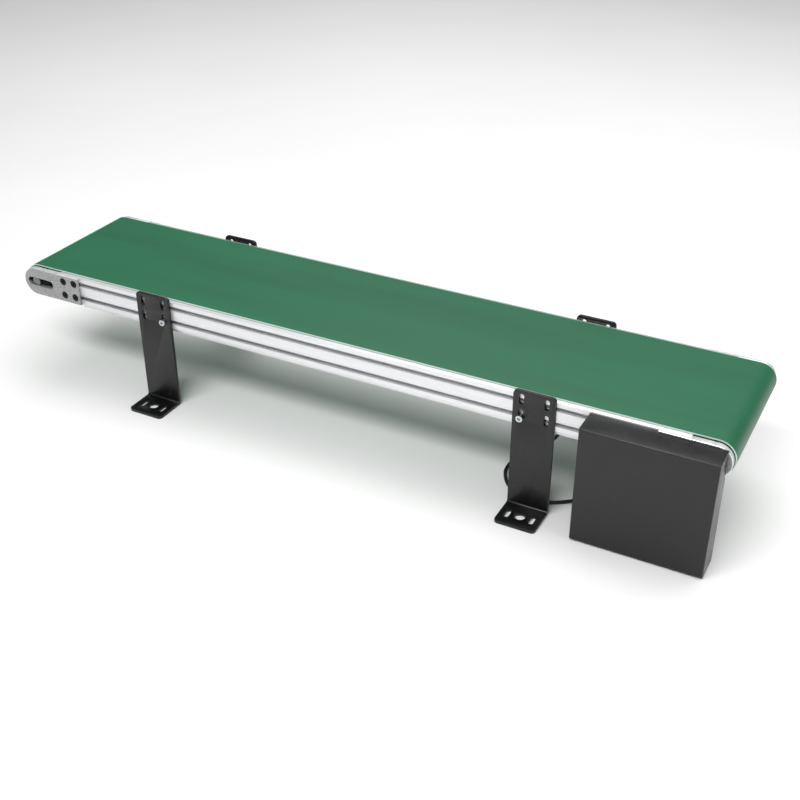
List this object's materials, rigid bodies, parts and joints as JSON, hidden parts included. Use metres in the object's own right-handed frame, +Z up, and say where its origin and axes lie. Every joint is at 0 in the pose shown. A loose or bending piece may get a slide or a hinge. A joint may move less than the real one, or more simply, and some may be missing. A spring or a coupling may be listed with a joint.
{
  "type": "belt conveyor section",
  "caption": "Low belt conveyor section: extruded rails on angle feet, flat belt round a driven and a take-up roller, side-mounted gear motor under a sheet cover.",
  "frame": {"origin": "on the floor, midway between the rollers and midway across the feet", "axes": "+X along the belt towards the driven end, +Y across it away from the drive cover, +Z up"},
  "size_m": [1.5266, 0.452, 0.2482],
  "materials": {
    "anodised_rail": "silver anodised extrusion",
    "blasted_plate": "bead-blasted machined plate",
    "belt_pvc": "green satin PVC",
    "black_powder": "black powder coat",
    "bed_steel": "zinc-coated sheet",
    "mill_aluminium": "mill finish",
    "black_screw": "black oxide",
    "zinc_screw": "zinc plated",
    "roller_steel": "turned steel",
    "bearing_steel": "ground steel",
    "pulley_aluminium": "machined",
    "toothed_belt": "black moulded rubber",
    "motor_black": "gloss black enamel",
    "gearbox_black": "satin black enamel on cast aluminium",
    "cap_grey": "matte pressed disc",
    "stator_iron": "varnished laminations",
    "gear_steel": "hardened and oiled",
    "gland_plastic": "black nylon",
    "lead_sheath": "black PVC sheath",
    "connector_plastic": "natural nylon"
  },
  "bodies": {
    "frame": {"side_rail_cover_side": "anodised_rail", "side_rail_open_side": "anodised_rail", "cross_bars": "mill_aluminium", "cross_bar_screws": "black_screw", "bed_stringers": "mill_aluminium", "slider_bed": "bed_steel", "idler_plate_cover_side": "blasted_plate", "idler_plate_open_side": "blasted_plate", "drive_plate_cover_side": "blasted_plate", "drive_plate_open_side": "blasted_plate", "end_plate_screws": "black_screw", "rail_nut_bars": "bearing_steel", "drive_bearings": "bearing_steel", "conveyor_belt": "belt_pvc", "motor_mount_plate": "black_powder", "mount_plate_screws": "black_screw", "drive_cover": "black_powder", "cover_screws": "black_screw", "toothed_belt": "toothed_belt", "gearbox_housing": "gearbox_black", "gearbox_screws": "black_screw", "gear_motor_bearings": "bearing_steel", "motor_front_shield": "gearbox_black", "motor_body": "motor_black", "motor_end_bell": "motor_black", "motor_end_cap": "cap_grey", "motor_stator": "stator_iron", "lead_gland": "gland_plastic", "motor_lead": "lead_sheath", "motor_lead_coil": "lead_sheath", "motor_lead_tail": "lead_sheath", "motor_lead_connector": "connector_plastic"},
    "drive_roller": {"drive_roller_tube": "roller_steel", "drive_roller_hubs": "roller_steel", "drive_shaft": "roller_steel", "driven_pulley": "pulley_aluminium"},
    "take_up_axle": {"idler_axle": "roller_steel"},
    "idler_roller": {"idler_roller_tube": "roller_steel", "idler_roller_hubs": "roller_steel", "idler_bearings": "bearing_steel"},
    "take_up_screw_cover": {"take_up_screw_cover_side": "black_screw"},
    "take_up_screw_open": {"take_up_screw_open_side": "black_screw"},
    "gearbox_output": {"output_shaft": "gear_steel", "output_gear": "gear_steel", "driver_pulley": "pulley_aluminium"},
    "gearbox_countershaft": {"countershaft": "gear_steel"},
    "rotor": {"motor_rotor": "stator_iron", "rotor_shaft": "gear_steel"},
    "leg_idler_cover_side": {"leg_bracket_idler_cover_side": "black_powder", "leg_bolt_idler_cover_side": "zinc_screw", "leg_nut_idler_cover_side": "bearing_steel"},
    "leg_drive_cover_side": {"leg_bracket_drive_cover_side": "black_powder", "leg_bolt_drive_cover_side": "zinc_screw", "leg_nut_drive_cover_side": "bearing_steel"},
    "leg_idler_open_side": {"leg_bracket_idler_open_side": "black_powder", "leg_bolt_idler_open_side": "zinc_screw", "leg_nut_idler_open_side": "bearing_steel"},
    "leg_drive_open_side": {"leg_bracket_drive_open_side": "black_powder", "leg_bolt_drive_open_side": "zinc_screw", "leg_nut_drive_open_side": "bearing_steel"}
  },
  "joints": [
    {"name": "drive_roller_spin", "type": "hinge", "parent": "frame", "child": "drive_roller", "pos_m": [0.73, 0, 0.2085], "axis": [0, 1, 0], "continuous": true},
    {"name": "take_up_slide", "type": "slide", "parent": "frame", "child": "take_up_axle", "axis": [1, 0, 0], "range_m": [0, 0.02]},
    {"name": "idler_roller_spin", "type": "hinge", "parent": "take_up_axle", "child": "idler_roller", "pos_m": [-0.73, 0, 0.2085], "axis": [0, 1, 0], "continuous": true},
    {"name": "take_up_screw_cover_turn", "type": "hinge", "parent": "frame", "child": "take_up_screw_cover", "pos_m": [-0.75, -0.154, 0.2085], "axis": [1, 0, 0], "range_deg": [-10, 7210]},
    {"name": "take_up_screw_open_turn", "type": "hinge", "parent": "frame", "child": "take_up_screw_open", "pos_m": [-0.75, 0.154, 0.2085], "axis": [1, 0, 0], "range_deg": [-10, 7210]},
    {"name": "gearbox_output_spin", "type": "hinge", "parent": "frame", "child": "gearbox_output", "pos_m": [0.61104, -0.15, 0.1015], "axis": [0, 1, 0], "continuous": true},
    {"name": "countershaft_spin", "type": "hinge", "parent": "frame", "child": "gearbox_countershaft", "pos_m": [0.62861, -0.12, 0.08744], "axis": [0, 1, 0], "continuous": true},
    {"name": "rotor_spin", "type": "hinge", "parent": "frame", "child": "rotor", "pos_m": [0.61104, 0, 0.0835], "axis": [0, 1, 0], "continuous": true},
    {"name": "leg_idler_cover_side_slide", "type": "slide", "parent": "frame", "child": "leg_idler_cover_side", "axis": [1, 0, 0], "range_m": [-0.14, 0.14]},
    {"name": "leg_drive_cover_side_slide", "type": "slide", "parent": "frame", "child": "leg_drive_cover_side", "axis": [1, 0, 0], "range_m": [-0.14, 0.05]},
    {"name": "leg_idler_open_side_slide", "type": "slide", "parent": "frame", "child": "leg_idler_open_side", "axis": [1, 0, 0], "range_m": [-0.14, 0.14]},
    {"name": "leg_drive_open_side_slide", "type": "slide", "parent": "frame", "child": "leg_drive_open_side", "axis": [1, 0, 0], "range_m": [-0.14, 0.05]}
  ],
  "couplings": [
    {"joint": "idler_roller_spin", "follows": "drive_roller_spin", "ratio": 1},
    {"joint": "gearbox_output_spin", "follows": "drive_roller_spin", "ratio": 0.83333},
    {"joint": "countershaft_spin", "follows": "drive_roller_spin", "ratio": -3.3333},
    {"joint": "rotor_spin", "follows": "drive_roller_spin", "ratio": 10},
    {"joint": "take_up_screw_cover_turn", "follows": "take_up_slide", "rad_per_m": 6283.2},
    {"joint": "take_up_screw_open_turn", "follows": "take_up_slide", "rad_per_m": 6283.2}
  ]
}
